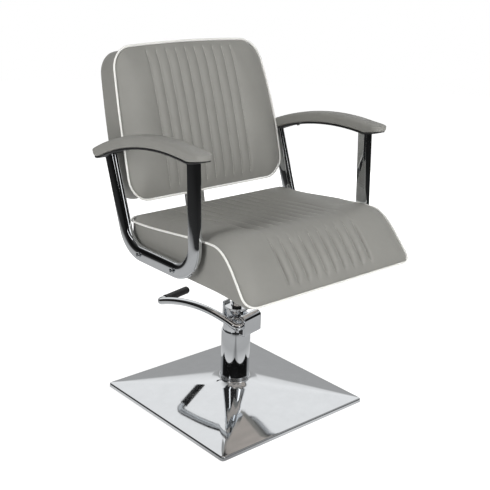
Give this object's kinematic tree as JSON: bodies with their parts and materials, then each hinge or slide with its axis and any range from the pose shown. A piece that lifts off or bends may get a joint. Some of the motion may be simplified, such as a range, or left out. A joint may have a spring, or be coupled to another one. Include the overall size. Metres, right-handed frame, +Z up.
{
  "type": "hydraulic salon chair",
  "caption": "Hydraulic salon chair: square chrome pedestal with a foot pump, grey piped seat and back with sewn channels, chrome arm frames with padded tops.",
  "frame": {"origin": "on the floor, on the column's axis", "axes": "+Z up; the sitter faces -Y; +X is the sitter's left"},
  "size_m": [0.6694, 0.7115, 1.0244],
  "materials": {
    "cover": "satin grained",
    "piping": "satin",
    "chrome": "polished",
    "steel": "machined",
    "zinc": "zinc plated",
    "black_steel": "satin",
    "rubber": "matt",
    "nylon": "matt",
    "plywood": "raw"
  },
  "bodies": {
    "base": {"floor_pad": "rubber", "ballast_plate": "black_steel", "base_cover": "chrome", "collar_ring": "chrome", "column_cover": "chrome", "cylinder": "steel", "cylinder_bolt_1": "zinc", "cylinder_bolt_2": "zinc", "cylinder_bolt_3": "zinc", "cylinder_bolt_4": "zinc", "pump_head": "chrome", "lever_housing": "chrome", "head_cap": "chrome", "rod_wiper": "rubber"},
    "lift": {"piston": "steel", "piston_seal": "rubber", "piston_rod": "chrome", "thrust_washer": "nylon"},
    "lever": {"pump_lever": "chrome", "lever_grip": "rubber", "lever_clip": "steel", "lever_rocker": "steel"},
    "plunger": {"pump_plunger": "steel", "plunger_spring": "steel"},
    "seat": {"arm_bolt_left_front": "chrome", "arm_bolt_left_rear": "chrome", "arm_bolt_right_front": "chrome", "arm_bolt_right_rear": "chrome", "arm_frame_left": "chrome", "arm_frame_right": "chrome", "arm_pad_left": "cover", "arm_pad_plate_left": "black_steel", "arm_pad_plate_right": "black_steel", "arm_pad_right": "cover", "arm_spacer_left_front": "black_steel", "arm_spacer_left_rear": "black_steel", "arm_spacer_right_front": "black_steel", "arm_spacer_right_rear": "black_steel", "back_board": "plywood", "back_bracket": "chrome", "back_cushion": "cover", "back_piping": "piping", "bracket_back_bolt_1": "zinc", "bracket_back_bolt_2": "zinc", "bracket_seat_bolt_1": "zinc", "bracket_seat_bolt_2": "zinc", "pad_screw_left_front": "zinc", "pad_screw_left_rear": "zinc", "pad_screw_right_front": "zinc", "pad_screw_right_rear": "zinc", "seat_cushion": "cover", "seat_frame": "plywood", "seat_piping": "piping", "seat_plate": "black_steel", "seat_plate_bolt_1": "zinc", "seat_plate_bolt_2": "zinc", "seat_plate_bolt_3": "zinc", "seat_plate_bolt_4": "zinc", "seat_socket": "black_steel"}
  },
  "joints": [
    {"name": "lift", "type": "slide", "parent": "base", "child": "lift", "axis": [0, 0, 1], "range_m": [-0.12, 0.02]},
    {"name": "swivel", "type": "hinge", "parent": "lift", "child": "seat", "pos_m": [0, 0, 0], "axis": [0, 0, 1], "continuous": true},
    {"name": "lever", "type": "hinge", "parent": "base", "child": "lever", "pos_m": [0.00956, -0.045, 0.248], "axis": [-0.9781, -0.2079, 0], "range_deg": [0, 22], "stiffness_Nm_per_rad": 2.5, "springref_deg": -57.3},
    {"name": "plunger", "type": "slide", "parent": "base", "child": "plunger", "axis": [0, 0, -1], "range_m": [0, 0.008], "deforming": ["plunger_spring"]}
  ],
  "couplings": [
    {"joint": "plunger", "follows": "lever", "m_per_rad": 0.0195}
  ]
}
